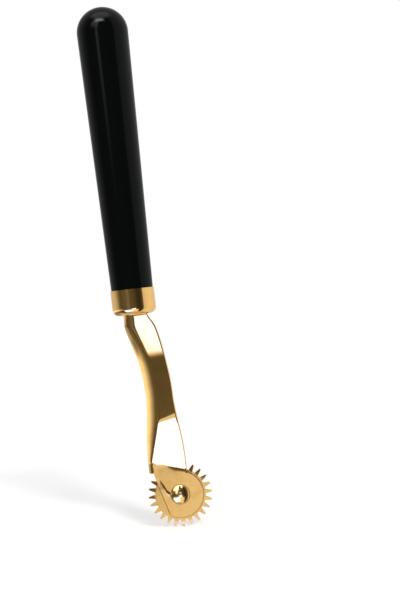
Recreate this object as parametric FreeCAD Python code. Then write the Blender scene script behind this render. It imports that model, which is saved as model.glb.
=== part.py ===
import FreeCAD, Part
import math
import os

from FreeCAD import Vector

# Tracing wheel: a turned handle, a metal ferrule, and a folded sheet-metal fork that carries a toothed
# wheel on a riveted axle.
#
# Frame: the origin is on the handle's axis, at the middle of the ferrule. +Z runs up the handle to its
# domed end. +X is the side that the wheel is offset to, and the fork is open on that side. The axle lies
# along Y, with the rivet's domed head at -Y. "Depth" is measured down from the ferrule's lower face, and
# "rise" up from the axle.

# Handle
handle_length = 88.7              # from the ferrule's upper rim to the top of the dome
handle_top_diameter = 16.12       # also the dome's
handle_foot_diameter = 13.16

# Ferrule
ferrule_length = 8.06
ferrule_diameter = 13.7
ferrule_wall = 0.5
ferrule_lower_rounding = 2.1      # outside radius of the lower rim
ferrule_lip_rounding = 0.15       # at the upper rim
glue_gap = 0.05                   # between the handle's spigot and the ferrule

# Stem of the fork: a channel folded round its -X side
sheet_thickness = 0.7
mouth_width = 7.6                 # where it leaves the ferrule
mouth_thickness = 4.0
shoulder_width = 9.6
shoulder_depth = 4.5
waist_width = 8.5
waist_start_depth = 18.0
waist_length = 7.0
foot_width = 11.8
foot_rise = 11.3
stem_offset = 4.65                # how far the stem swings out to +X
swing_length = 26.0
body_thickness = 6.2
flare_length = 17.0               # over which the stem thickens below the ferrule
flare_knee = 5.0                  # the last of that length, where the slope dies away
fold_reach_mouth = 3.5            # how far the rounded side reaches along X before the legs run flat
fold_reach_taper = 4.3
fold_fullness_mouth = 0.72        # how far the rounding fills its corner; a true ellipse has 0.707
fold_fullness_body = 0.4
fullness_start_depth = 1.0
fullness_end_depth = 14.0
fold_reach_ears = 1.3
taper_web_rise = 22.8             # where the channel starts to narrow towards the ears
taper_edge_rise = 25.9
bend_web_rise = 11.0              # the crease above the flat ears, which runs at a slant
bend_edge_rise = 7.4
web_end_rise = 7.4                # where the folded side stops, clear of the teeth

# Ears and tang of the fork
ear_radius = 7.2
ear_edge_angle = 16.2             # of the ears' straight edge, from -Z
prong_width = 4.4                 # the two prongs in the handle
prong_length = 18.0
prong_clearance = 0.05
prong_end_space = 1.0
slot_clearance = 0.15             # round the stem, in the ferrule's floor

# Wheel and its axle
axle_drop = 57.27                 # below the ferrule's lower face
axle_offset = 7.66                # from the handle's axis
wheel_diameter = 20.0
wheel_thickness = 1.0
wheel_side_clearance = 0.3        # to each ear
wheel_running_clearance = 0.05    # round the sleeve, on the radius
tooth_count = 24
tooth_height = 2.0
tooth_tip_width = 0.55
gullet_width = 0.7                # between two teeth, at their feet
sleeve_wall = 0.6
rivet_shank_diameter = 2.4
rivet_hole_clearance = 0.05       # on the radius
rivet_head_diameter = 5.9
rivet_head_height = 1.4
rivet_head_land = 0.3             # straight edge of the head, under the dome
rivet_tail_diameter = 4.4
rivet_tail_height = 0.9
rivet_tail_land = 0.2

UP = Vector(0, 0, 1)
BACK = Vector(0, 1, 0)
SAME = 0.001                      # two places this close are taken as one

# Heights and places that follow
ferrule_top = ferrule_length / 2
ferrule_bottom = -ferrule_length / 2
handle_end = ferrule_bottom + ferrule_wall + glue_gap
axle_height = ferrule_bottom - axle_drop
ear_gap = wheel_thickness + 2 * wheel_side_clearance
ear_thickness = ear_gap + 2 * sheet_thickness
hole_radius = rivet_shank_diameter / 2 + rivet_hole_clearance
sleeve_radius = hole_radius + sleeve_wall


def revolved(profile):
    """The solid of a closed profile in the XZ plane, turned about Z."""
    return Part.Face(Part.Wire(profile)).revolve(Vector(0, 0, 0), UP, 360)


def cylinder_along_y(radius, start, length):
    """A cylinder on the wheel's axle, from y = start towards +Y."""
    return Part.makeCylinder(radius, length, Vector(axle_offset, start, axle_height), BACK)


def rounded_corner(start, corner, end, fullness):
    """A conic arc from start to end, tangent to the two lines that meet at corner."""
    curve = Part.BezierCurve()
    curve.setPoles([start, corner, end])
    curve.setWeight(2, fullness)
    return curve.toShape()


def make_handle():
    """Cone with a tangent dome, a spigot inside the ferrule and a bore for the prongs."""
    foot = Vector(handle_foot_diameter / 2, 0, ferrule_top)
    dome_radius = handle_top_diameter / 2
    dome_centre = Vector(0, 0, ferrule_top + handle_length - dome_radius)
    to_foot = foot - dome_centre
    tangent_angle = math.atan2(to_foot.z, to_foot.x) + math.acos(dome_radius / to_foot.Length)
    tangent = dome_centre + Vector(math.cos(tangent_angle), 0, math.sin(tangent_angle)) * dome_radius
    middle_angle = (tangent_angle + math.pi / 2) / 2
    on_dome = dome_centre + Vector(math.cos(middle_angle), 0, math.sin(middle_angle)) * dome_radius
    top = dome_centre + UP * dome_radius
    spigot_radius = ferrule_diameter / 2 - ferrule_wall - glue_gap
    # The spigot's lower edge is rounded to lie inside the ferrule's rounded rim.
    rounding = ferrule_lower_rounding - ferrule_wall
    set_back = rounding * (1 - math.sqrt(0.5))
    arc_end = Vector(spigot_radius - rounding, 0, handle_end)
    arc_start = Vector(spigot_radius, 0, handle_end + rounding)
    arc_middle = Vector(spigot_radius - set_back, 0, handle_end + set_back)
    shoulder = Vector(spigot_radius, 0, ferrule_top)
    bottom = Vector(0, 0, handle_end)
    profile = [
        Part.makeLine(bottom, arc_end),
        Part.Arc(arc_end, arc_middle, arc_start).toShape(),
        Part.makeLine(arc_start, shoulder),
        Part.makeLine(shoulder, foot),
        Part.makeLine(foot, tangent),
        Part.Arc(tangent, on_dome, top).toShape(),
        Part.makeLine(top, bottom),
    ]
    bore_radius = math.hypot(prong_width / 2, mouth_thickness / 2) + prong_clearance
    bore = Part.makeCylinder(bore_radius, prong_length + prong_end_space, bottom)
    return revolved(profile).cut(bore)


def make_ferrule():
    """Drawn cup over the handle's foot, with a slot in its floor for the stem."""
    outer = Part.makeCylinder(ferrule_diameter / 2, ferrule_length, Vector(0, 0, ferrule_bottom))
    lower_edge = [edge for edge in outer.Edges if edge.BoundBox.ZMax < ferrule_bottom + SAME]
    outer = outer.makeFillet(ferrule_lower_rounding, lower_edge)
    floor_top = ferrule_bottom + ferrule_wall
    inner_radius = ferrule_diameter / 2 - ferrule_wall
    inner = Part.makeCylinder(inner_radius, ferrule_length, Vector(0, 0, floor_top))
    inner_edge = [edge for edge in inner.Edges if edge.BoundBox.ZMax < floor_top + SAME]
    inner = inner.makeFillet(ferrule_lower_rounding - ferrule_wall, inner_edge)
    cup = outer.cut(inner)
    upper_edge = [
        edge
        for edge in cup.Edges
        if edge.BoundBox.ZMin > ferrule_top - SAME and edge.BoundBox.XMax > ferrule_diameter / 2 - SAME
    ]
    cup = cup.makeFillet(ferrule_lip_rounding, upper_edge)
    half_thickness = mouth_thickness / 2 + slot_clearance
    half_width = mouth_width / 2 + slot_clearance
    flat_start = -half_width + slot_clearance + fold_reach_mouth

    def at(x, y):
        return Vector(x, y, ferrule_bottom)

    front_start = at(flat_start, -half_thickness)
    rear_start = at(flat_start, half_thickness)
    fold_top = at(-half_width, 0)
    front_corner = at(-half_width, -half_thickness)
    rear_corner = at(-half_width, half_thickness)
    outline = [
        rounded_corner(front_start, front_corner, fold_top, fold_fullness_mouth),
        rounded_corner(fold_top, rear_corner, rear_start, fold_fullness_mouth),
        Part.makeLine(rear_start, at(half_width, half_thickness)),
        Part.makeLine(at(half_width, half_thickness), at(half_width, -half_thickness)),
        Part.makeLine(at(half_width, -half_thickness), front_start),
    ]
    return cup.cut(Part.Face(Part.Wire(outline)).extrude(UP * ferrule_wall))


def eased(start, end, share):
    """A value that leaves start and reaches end with no slope at either."""
    return start + (end - start) * (1 - math.cos(math.pi * min(max(share, 0), 1))) / 2


def swung(start, end, share):
    """A value that leaves start at a slope and levels off at end."""
    return start + (end - start) * math.sin(math.pi / 2 * min(max(share, 0), 1))


def flared(start, end, depth):
    """A value that runs straight from start, then rounds off to end over the flare's knee."""
    slope = (end - start) / (flare_length - flare_knee / 2)
    to_go = flare_length - depth
    if to_go > flare_knee:
        return start + slope * depth
    return end - slope * max(to_go, 0) ** 2 / (2 * flare_knee)


def stem_width(depth):
    """Width of the stem along X: mouth, shoulder, waist and foot."""
    waist_end = waist_start_depth + waist_length
    foot_depth = axle_drop - foot_rise
    if depth < shoulder_depth:
        return eased(mouth_width, shoulder_width, depth / shoulder_depth)
    if depth < waist_start_depth:
        share = (depth - shoulder_depth) / (waist_start_depth - shoulder_depth)
        return eased(shoulder_width, waist_width, share)
    return eased(waist_width, foot_width, (depth - waist_end) / (foot_depth - waist_end))


def stem_middle(depth):
    """X of the middle of the stem's width."""
    return swung(0, stem_offset, depth / swing_length)


def web_point(depth):
    """A point on the outside of the folded side."""
    return Vector(stem_middle(depth) - stem_width(depth) / 2, 0, ferrule_bottom - depth)


def edge_point(depth):
    """A point on the line of the legs' free edges."""
    return Vector(stem_middle(depth) + stem_width(depth) / 2, 0, ferrule_bottom - depth)


def fold_fullness(depth):
    """Fullness of the folded side's rounding, which drops below the mouth."""
    share = (depth - fullness_start_depth) / (fullness_end_depth - fullness_start_depth)
    return eased(fold_fullness_mouth, fold_fullness_body, share)


def channel_section(web, edge, thickness, fold_reach):
    """A closed U of the sheet's thickness, from the folded side at web to the free edges at edge."""
    fullness = fold_fullness(ferrule_bottom - web.z)
    along = (edge - web).normalize()
    length = (edge - web).Length
    outer = thickness / 2
    inner = outer - sheet_thickness

    def at(distance, y):
        return web + along * distance + BACK * y

    def fold(start_y, turn):
        corner = at(turn, start_y)
        far_corner = at(turn, -start_y)
        return [
            rounded_corner(at(fold_reach, start_y), corner, at(turn, 0), fullness),
            rounded_corner(at(turn, 0), far_corner, at(fold_reach, -start_y), fullness),
        ]

    edges = [Part.makeLine(at(length, -outer), at(fold_reach, -outer))]
    edges += fold(-outer, 0)
    edges += [
        Part.makeLine(at(fold_reach, outer), at(length, outer)),
        Part.makeLine(at(length, outer), at(length, inner)),
        Part.makeLine(at(length, inner), at(fold_reach, inner)),
    ]
    edges += fold(inner, sheet_thickness)
    edges += [
        Part.makeLine(at(fold_reach, -inner), at(length, -inner)),
        Part.makeLine(at(length, -inner), at(length, -outer)),
    ]
    return Part.Wire(edges)


def make_stem():
    """The channel from the handle's end to just below the crease above the ears."""
    taper_web = axle_drop - taper_web_rise
    taper_edge = axle_drop - taper_edge_rise
    bend_web = axle_drop - bend_web_rise
    bend_edge = axle_drop - bend_edge_rise
    overlap = bend_web_rise - web_end_rise
    steps = 12
    body = []
    for step in range(1, steps + 1):
        share = step / steps
        web_depth = taper_web * share
        edge_depth = web_depth + (taper_edge - taper_web) * share**2
        thickness = flared(mouth_thickness, body_thickness, web_depth)
        reach = eased(fold_reach_mouth, fold_reach_taper, share)
        body.append(channel_section(web_point(web_depth), edge_point(edge_depth), thickness, reach))
    mouth = channel_section(web_point(0), edge_point(0), mouth_thickness, fold_reach_mouth)
    seat = mouth.copy()
    seat.translate(UP * (handle_end - ferrule_bottom))
    crease = channel_section(web_point(bend_web), edge_point(bend_edge), ear_thickness, fold_reach_ears)
    below_crease = Part.Face(crease).extrude(web_point(bend_web + overlap) - web_point(bend_web))
    lengths = [
        Part.makeLoft([seat, mouth], True, True),
        Part.makeLoft([mouth] + body, True, False),
        Part.makeLoft([body[-1], crease], True, True),
        below_crease,
    ]
    return lengths[0].fuse(lengths[1:])


def make_ear(near_y):
    """One flat ear, from the crease round the axle."""
    axle = Vector(axle_offset, 0, axle_height)
    web_end = web_point(axle_drop - web_end_rise)
    start = web_end + Vector(fold_reach_ears, 0, 0)
    slope = math.radians(ear_edge_angle)
    down = Vector(math.sin(slope), 0, -math.cos(slope))
    across = Vector(math.cos(slope), 0, math.sin(slope))
    to_axle = axle - start
    corner = start + down * (to_axle.dot(down) + math.sqrt(ear_radius**2 - to_axle.dot(across) ** 2))
    crease_end = edge_point(axle_drop - bend_edge_rise)
    side = crease_end.x - axle_offset
    arc_end = axle + Vector(side, 0, math.sqrt(ear_radius**2 - side**2))
    outline = Part.Wire(
        [
            Part.makeLine(start, corner),
            Part.Arc(corner, axle + Vector(1, 0, -1).normalize() * ear_radius, arc_end).toShape(),
            Part.makeLine(arc_end, crease_end),
            Part.makeLine(crease_end, start),
        ]
    )
    ear = Part.Face(outline).extrude(BACK * sheet_thickness)
    ear.translate(BACK * near_y)
    return ear


def make_fork():
    """Stem, ears and prongs, folded from one sheet."""
    outer = ear_thickness / 2
    prongs = []
    for near_y in (-mouth_thickness / 2, mouth_thickness / 2 - sheet_thickness):
        corner = Vector(-prong_width / 2, near_y, handle_end)
        prongs.append(Part.makeBox(prong_width, sheet_thickness, prong_length, corner))
    fork = make_stem().fuse([make_ear(-outer), make_ear(outer - sheet_thickness)] + prongs)
    web_end = web_point(axle_drop - web_end_rise)
    below_web = Part.makeBox(
        web_end_rise,
        ear_thickness,
        web_end_rise,
        web_end + Vector(fold_reach_ears - web_end_rise, -outer, -web_end_rise),
    )
    fork = fork.cut([below_web, cylinder_along_y(hole_radius, -outer, ear_thickness)])
    return fork.removeSplitter()


def make_tracing_wheel():
    """Flat wheel with blunt radial teeth, one of them pointing straight down, and a running bore."""
    tip_radius = wheel_diameter / 2
    root_radius = tip_radius - tooth_height
    pitch_angle = 2 * math.pi / tooth_count
    tip_angle = tooth_tip_width / tip_radius
    gullet_angle = gullet_width / root_radius

    centre = Vector(axle_offset, -wheel_thickness / 2, axle_height)

    def at(radius, angle):
        return centre + Vector(math.cos(angle), 0, math.sin(angle)) * radius

    edges = []
    for tooth in range(tooth_count):
        middle = tooth * pitch_angle - math.pi / 2
        next_gullet = middle + pitch_angle / 2
        foot_start = at(root_radius, middle - pitch_angle / 2 + gullet_angle / 2)
        tip_start = at(tip_radius, middle - tip_angle / 2)
        tip_end = at(tip_radius, middle + tip_angle / 2)
        foot_end = at(root_radius, next_gullet - gullet_angle / 2)
        next_foot = at(root_radius, next_gullet + gullet_angle / 2)
        edges += [
            Part.makeLine(foot_start, tip_start),
            Part.Arc(tip_start, at(tip_radius, middle), tip_end).toShape(),
            Part.makeLine(tip_end, foot_end),
            Part.Arc(foot_end, at(root_radius, next_gullet), next_foot).toShape(),
        ]
    blank = Part.Face(Part.Wire(Part.sortEdges(edges)[0])).extrude(BACK * wheel_thickness)
    bore = cylinder_along_y(sleeve_radius + wheel_running_clearance, -wheel_thickness / 2, wheel_thickness)
    return blank.cut(bore)


def make_axle_sleeve():
    """Tube that the wheel turns on and the ears are clamped against."""
    outside = cylinder_along_y(sleeve_radius, -ear_gap / 2, ear_gap)
    return outside.cut(cylinder_along_y(hole_radius, -ear_gap / 2, ear_gap))


def dome(diameter, land, height, face_y, direction):
    """A domed head that stands on the plane y = face_y and rises along direction (-1 or 1)."""
    radius = diameter / 2
    cap_height = height - land
    cap_radius = (radius**2 + cap_height**2) / (2 * cap_height)
    base = Vector(0, face_y, 0)
    outward = BACK * direction
    across = Vector(1, 0, 0)
    cap_middle = math.asin(radius / cap_radius) / 2
    cap_centre = base + outward * (height - cap_radius)
    on_cap = cap_centre + across * (cap_radius * math.sin(cap_middle)) + outward * (
        cap_radius * math.cos(cap_middle)
    )
    rim = base + across * radius
    rim_top = rim + outward * land
    top = base + outward * height
    profile = Part.Wire(
        [
            Part.makeLine(base, rim),
            Part.makeLine(rim, rim_top),
            Part.Arc(rim_top, on_cap, top).toShape(),
            Part.makeLine(top, base),
        ]
    )
    head = Part.Face(profile).revolve(Vector(0, 0, 0), BACK, 360)
    head.translate(Vector(axle_offset, 0, axle_height))
    return head


def make_axle_rivet():
    """Rivet through both ears and the sleeve, with a domed head and a formed tail."""
    outer = ear_thickness / 2
    head = dome(rivet_head_diameter, rivet_head_land, rivet_head_height, -outer, -1)
    tail = dome(rivet_tail_diameter, rivet_tail_land, rivet_tail_height, outer, 1)
    shank = cylinder_along_y(rivet_shank_diameter / 2, -outer, ear_thickness)
    return shank.fuse([head, tail]).removeSplitter()


os.makedirs("parts", exist_ok=True)
nodes = {
    "handle": make_handle(),
    "ferrule": make_ferrule(),
    "fork": make_fork(),
    "tracing_wheel": make_tracing_wheel(),
    "axle_sleeve": make_axle_sleeve(),
    "axle_rivet": make_axle_rivet(),
}
for name, shape in nodes.items():
    print(name, "valid" if shape.isValid() else "NOT VALID", len(shape.Solids), round(shape.Volume, 2))
    shape.exportStep(f"parts/{name}.step")
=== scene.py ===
import math

import bmesh
import bpy
from mathutils import Matrix, Vector
from mathutils.geometry import delaunay_2d_cdt


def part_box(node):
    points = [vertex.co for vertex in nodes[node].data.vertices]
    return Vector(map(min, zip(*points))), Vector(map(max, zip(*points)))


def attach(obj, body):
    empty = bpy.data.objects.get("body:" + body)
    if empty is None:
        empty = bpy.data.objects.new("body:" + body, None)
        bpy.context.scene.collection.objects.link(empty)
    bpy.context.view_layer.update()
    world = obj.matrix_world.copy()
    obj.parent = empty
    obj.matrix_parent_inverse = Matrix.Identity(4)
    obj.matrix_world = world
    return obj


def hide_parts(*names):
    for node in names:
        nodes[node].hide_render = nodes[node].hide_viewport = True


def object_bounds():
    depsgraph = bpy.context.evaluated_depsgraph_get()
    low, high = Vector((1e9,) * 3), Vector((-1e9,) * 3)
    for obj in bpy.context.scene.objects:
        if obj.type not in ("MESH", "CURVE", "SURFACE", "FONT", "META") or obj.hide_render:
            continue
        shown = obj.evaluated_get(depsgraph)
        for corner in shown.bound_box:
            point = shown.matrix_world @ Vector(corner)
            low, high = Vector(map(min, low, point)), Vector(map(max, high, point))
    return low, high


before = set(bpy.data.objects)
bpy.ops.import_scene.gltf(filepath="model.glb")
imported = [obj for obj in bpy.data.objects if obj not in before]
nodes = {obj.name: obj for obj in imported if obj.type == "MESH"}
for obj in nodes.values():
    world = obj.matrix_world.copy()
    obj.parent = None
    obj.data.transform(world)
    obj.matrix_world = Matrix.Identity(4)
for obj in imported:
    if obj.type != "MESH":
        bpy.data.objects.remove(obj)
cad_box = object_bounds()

# Lengths of the object are in millimetres and are brought to metres when a mesh is made. Those of the
# stage and the materials are in metres.
MM = 0.001
RUNNING_GAP = 0.05  # between the sleeve and the wheel's bore, on the radius


def corner_mm(node, which):
    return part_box(node)[which] / MM


# -------------------- sizes that follow the solids
handle_low, handle_high = corner_mm("handle", 0), corner_mm("handle", 1)
ferrule_low, ferrule_high = corner_mm("ferrule", 0), corner_mm("ferrule", 1)
fork_low, fork_high = corner_mm("fork", 0), corner_mm("fork", 1)
wheel_low, wheel_high = corner_mm("tracing_wheel", 0), corner_mm("tracing_wheel", 1)
rivet_low, rivet_high = corner_mm("axle_rivet", 0), corner_mm("axle_rivet", 1)
sleeve_low, sleeve_high = corner_mm("axle_sleeve", 0), corner_mm("axle_sleeve", 1)

ferrule_bottom, ferrule_top = ferrule_low.z, ferrule_high.z
handle_end = handle_low.z
axle_x = (wheel_low.x + wheel_high.x) / 2
axle_z = (wheel_low.z + wheel_high.z) / 2
axle_drop = ferrule_bottom - axle_z
wheel_radius = (wheel_high.x - wheel_low.x) / 2
wheel_face = -wheel_low.y
body_half = -fork_low.y
ear_inside = sleeve_high.y
bore_radius = (sleeve_high.x - sleeve_low.x) / 2 + RUNNING_GAP

# -------------------- sizes that the boxes don't give
# Handle and ferrule
HANDLE_FOOT_RADIUS = 6.58
HANDLE_EDGE = 0.12
FERRULE_RADIUS = 6.85
FERRULE_WALL = 0.5
FERRULE_ROUNDING = 2.1
GLUE_GAP = 0.05
SLOT_GAP = 0.15
PRONG_HALF_WIDTH = 2.2
PRONG_END_SPACE = 1.0

# Stem and ears of the fork
SHEET = 0.7
MOUTH_HALF = 2.0
MOUTH_WIDTH, SHOULDER_WIDTH, WAIST_WIDTH, FOOT_WIDTH = 7.6, 9.6, 8.5, 11.8
SHOULDER_DEPTH, WAIST_START, WAIST_END = 4.5, 18.0, 25.0
FOOT_RISE = 11.3
STEM_OFFSET, SWING_LENGTH = 4.65, 26.0
FLARE_LENGTH, FLARE_KNEE, KNEE_PAST = 17.0, 5.0, 0.25
REACH_MOUTH, REACH_TAPER, REACH_EARS = 3.5, 4.3, 1.3
TAPER_WEB_RISE, TAPER_EDGE_RISE = 22.8, 25.9
BEND_WEB_RISE, BEND_EDGE_RISE = 11.0, 7.4
WEB_END_RISE = 7.4
EAR_RADIUS = 7.2
EAR_EDGE_ANGLE = 16.2
RIVET_HOLE_RADIUS = 1.25
EAR_HALF = ear_inside + SHEET
TAPER_KNEE = 0.16
CREASE_KNEE = 0.03
FULLNESS_MOUTH, FULLNESS_BODY = 0.72, 0.4
FULLNESS_START, FULLNESS_END = 1.0, 14.0
# The free edge is rounded a little more from ROUNDING_START down to ROUNDING_END, and least on the ears.
EDGE_ROUNDING_TOP = 0.15
EDGE_ROUNDING = 0.28
ROUNDING_START, ROUNDING_END = 10, 30
EAR_ROUNDING = 0.06
EAR_ROUNDING_LENGTH, EDGE_END_LENGTH = 0.7, 1.0
EAR_TILT = math.tan(math.radians(0.5))
# A coined line under the right part of the crease and a shallow press mark beside the rivet.
COIN_DEPTH, COIN_WIDTH, COIN_MIDDLE, COIN_SPREAD = 0.03, 0.4, 0.42, 0.3
JOIN_START, JOIN_LENGTH = 0.15, 1.2
MARK_DEPTH, MARK_WIDTH, MARK_FADE = 0.06, 0.42, 1.5
MARK_START_LENGTH, MARK_END_LENGTH = 1.4, 1.2
MARK = ((-6.0, 4.9), (-5.2, 3.2), (-4.3, 1.2), (-3.7, 0.5), (-2.7, 0.2))

# Points nearer than this are one, in metres, and loose faces smaller than this go, in square metres.
SAME_POINT = 2e-6
SLIVER_AREA = 5e-11


def clamp(value, low=0):
    return min(1, max(low, value))


def put(name, data):
    """An object of that name, linked into the scene."""
    made = bpy.data.objects.new(name, data)
    bpy.context.scene.collection.objects.link(made)
    return made


class Mesher:
    """Collects the points and faces of one piece."""

    def __init__(self):
        self.points = []
        self.faces = []

    def add(self, points):
        first = len(self.points)
        self.points += [Vector(p) for p in points]
        return list(range(first, first + len(points)))

    def strip(self, first, second, closed=False):
        count = len(first)
        for i in range(count if closed else count - 1):
            j = (i + 1) % count
            face = tuple(dict.fromkeys((first[i], first[j], second[j], second[i])))
            if len(face) > 2:
                self.faces.append(face)

    def fill(self, outline, holes, inside, height):
        """Triangles over a region of the XZ plane whose rings are points already added. inside is a
        list of (x, z) for more points, and height(x, z) gives their y."""
        rings = [outline] + holes
        flat, ids, edges = [], [], []
        for ring in rings:
            start = len(flat)
            flat += [Vector((self.points[i].x, self.points[i].z)) for i in ring]
            ids += ring
            edges += [(start + k, start + (k + 1) % len(ring)) for k in range(len(ring))]
        borders = [[Vector((self.points[i].x, self.points[i].z)) for i in ring] for ring in rings]
        ids += self.add([(x, height(x, z), z) for x, z in inside])
        flat += [Vector(p) for p in inside]
        out_points, _, triangles, origins, _, _ = delaunay_2d_cdt(flat, edges, [], 0, 1e-5)
        new = [ids[o[0]] for o in origins]
        for triangle in triangles:
            middle = sum((out_points[k] for k in triangle), Vector((0, 0))) / 3
            if holds(borders[0], middle) and not any(holds(b, middle) for b in borders[1:]):
                self.faces.append(tuple(new[k] for k in triangle))

    def build(self, name, body, material, replaced, sharp=40):
        mesh = bpy.data.meshes.new(name)
        mesh.from_pydata([p * MM for p in self.points], [], self.faces)
        bm = bmesh.new()
        bm.from_mesh(mesh)
        bmesh.ops.remove_doubles(bm, verts=bm.verts, dist=SAME_POINT)
        bmesh.ops.dissolve_degenerate(bm, edges=bm.edges, dist=1e-7)
        stray = [edge for edge in bm.edges if not edge.link_faces]
        bmesh.ops.delete(bm, geom=stray, context="EDGES")
        slivers = [
            face
            for face in bm.faces
            if face.calc_area() < SLIVER_AREA and any(len(edge.link_faces) == 1 for edge in face.edges)
        ]
        bmesh.ops.delete(bm, geom=slivers, context="FACES")
        bmesh.ops.recalc_face_normals(bm, faces=bm.faces)
        bm.to_mesh(mesh)
        bm.free()
        mesh.shade_smooth()
        mesh.set_sharp_from_angle(angle=math.radians(sharp))
        piece = put(name, mesh)
        weighted = piece.modifiers.new("weighted", "WEIGHTED_NORMAL")
        weighted.keep_sharp = True
        mesh.materials.append(material)
        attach(piece, body)
        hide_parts(replaced)
        return piece


def holds(border, point):
    """Whether a closed line in the plane goes round point."""
    inside = False
    for a, b in zip(border, border[1:] + border[:1]):
        if (a.y > point.y) != (b.y > point.y):
            if point.x < a.x + (point.y - a.y) / (b.y - a.y) * (b.x - a.x):
                inside = not inside
    return inside


def distance_to(border, point):
    """Shortest way from point to a closed line in the plane."""
    best = 1e9
    for a, b in zip(border, border[1:] + border[:1]):
        along = b - a
        share = clamp((point - a).dot(along) / max(along.length_squared, 1e-12))
        best = min(best, (point - a - along * share).length)
    return best


def grid_inside(border, holes, pitch, margin):
    """Points of a triangular grid inside border, clear of it and of the holes."""
    xs = [p.x for p in border]
    zs = [p.y for p in border]
    found = []
    row = 0
    z = min(zs)
    while z < max(zs):
        x = min(xs) + (row % 2) * pitch / 2
        while x < max(xs):
            point = Vector((x, z))
            if holds(border, point) and distance_to(border, point) > margin:
                if all(not holds(h, point) and distance_to(h, point) > margin for h in holes):
                    found.append((x, z))
            x += pitch
        z += pitch * math.sqrt(3) / 2
        row += 1
    return found


def clear_of(point, border, hole, margin):
    if not holds(border, point) or holds(hole, point):
        return False
    return distance_to(border, point) > margin and distance_to(hole, point) > margin


def min_gap(point, others):
    return min(math.hypot(point[0] - x, point[1] - z) for x, z in others)


def circle(radius, count, middle=(0, 0), start=0):
    return [
        (
            middle[0] + radius * math.cos(start + 2 * math.pi * k / count),
            middle[1] + radius * math.sin(start + 2 * math.pi * k / count),
        )
        for k in range(count)
    ]


def arc(centre, radius, start, end, count):
    """Points (r, h) on an arc, angles in degrees from +r towards +h."""
    return [
        (
            centre[0] + radius * math.cos(math.radians(start + (end - start) * k / count)),
            centre[1] + radius * math.sin(math.radians(start + (end - start) * k / count)),
        )
        for k in range(count + 1)
    ]


def spread(first, last, count):
    """Evenly spaced values from first up to, but not at, last."""
    return [first + (last - first) * k / count for k in range(count)]


def turn(mesher, profile, place, steps=160):
    """Turns a profile of (radius, height) and gives the rings. place(x, y, h) sets a ring's point down."""
    rings = []
    for radius, height in profile:
        if radius < 1e-6:
            rings.append(mesher.add([place(0, 0, height)]) * steps)
        else:
            rings.append(mesher.add([place(x, y, height) for x, y in circle(radius, steps)]))
    for first, second in zip(rings, rings[1:]):
        mesher.strip(first, second, closed=True)
    return rings


# -------------------- the fork
def eased(start, end, share):
    return start + (end - start) * (1 - math.cos(math.pi * clamp(share))) / 2


def stem_width(depth):
    foot_depth = axle_drop - FOOT_RISE
    if depth < SHOULDER_DEPTH:
        return eased(MOUTH_WIDTH, SHOULDER_WIDTH, depth / SHOULDER_DEPTH)
    if depth < WAIST_START:
        share = (depth - SHOULDER_DEPTH) / (WAIST_START - SHOULDER_DEPTH)
        return eased(SHOULDER_WIDTH, WAIST_WIDTH, share)
    return eased(WAIST_WIDTH, FOOT_WIDTH, (depth - WAIST_END) / (foot_depth - WAIST_END))


def stem_middle(depth):
    return STEM_OFFSET * math.sin(math.pi / 2 * clamp(depth / SWING_LENGTH))


def web_point(depth):
    return Vector((stem_middle(depth) - stem_width(depth) / 2, 0, ferrule_bottom - depth))


def edge_point(depth):
    return Vector((stem_middle(depth) + stem_width(depth) / 2, 0, ferrule_bottom - depth))


def flared(depth):
    slope = (body_half - MOUTH_HALF) / (FLARE_LENGTH - FLARE_KNEE / 2)
    to_go = FLARE_LENGTH - depth
    if to_go > FLARE_KNEE:
        return MOUTH_HALF + slope * max(depth, 0)
    return body_half - slope * max(to_go, 0) ** 2 / (2 * FLARE_KNEE)


def tapered(share):
    """From 0 to 1, with a soft start and a short soft end."""
    rate = 1 / (1 - TAPER_KNEE / 2 - CREASE_KNEE / 2)
    if share < TAPER_KNEE:
        return rate * share**2 / (2 * TAPER_KNEE)
    if share > 1 - CREASE_KNEE:
        return 1 - rate * (1 - share) ** 2 / (2 * CREASE_KNEE)
    return rate * (share - TAPER_KNEE / 2)


FOLD_STEPS = 14
FLAT_STEPS = 14
ROUND_STEPS = 6
CUT_STEPS = 6
# Points inside an ear: a plain grid, with finer rows along the crease and the mark
FILL_PITCH, FILL_MARGIN = 0.55, 0.22
FINE_PITCH, FINE_MARGIN, FINE_SPACE = 0.16, 0.06, 0.2
CREASE_ROWS = (0.08, 0.18, 0.3, 0.45, 0.65, 0.9, 1.2)
CREASE_POINTS = 60
MARK_ROWS = (-0.5, -0.25, -0.08, 0, 0.1, 0.2, 0.3, MARK_WIDTH)


def fullness(depth):
    share = (depth - FULLNESS_START) / (FULLNESS_END - FULLNESS_START)
    return eased(FULLNESS_MOUTH, FULLNESS_BODY, share)


def fold_arc(reach, depth_in, back, full):
    """Half of the folded side: (distance along the section, y) from the flat leg to the middle."""
    points = []
    for k in range(FOLD_STEPS + 1):
        u = k / FOLD_STEPS
        a, b, c = (1 - u) ** 2, 2 * full * u * (1 - u), u**2
        total = a + b + c
        points.append(((a * reach + (b + c) * back) / total, (a + b) * depth_in / total))
    return points


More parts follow.
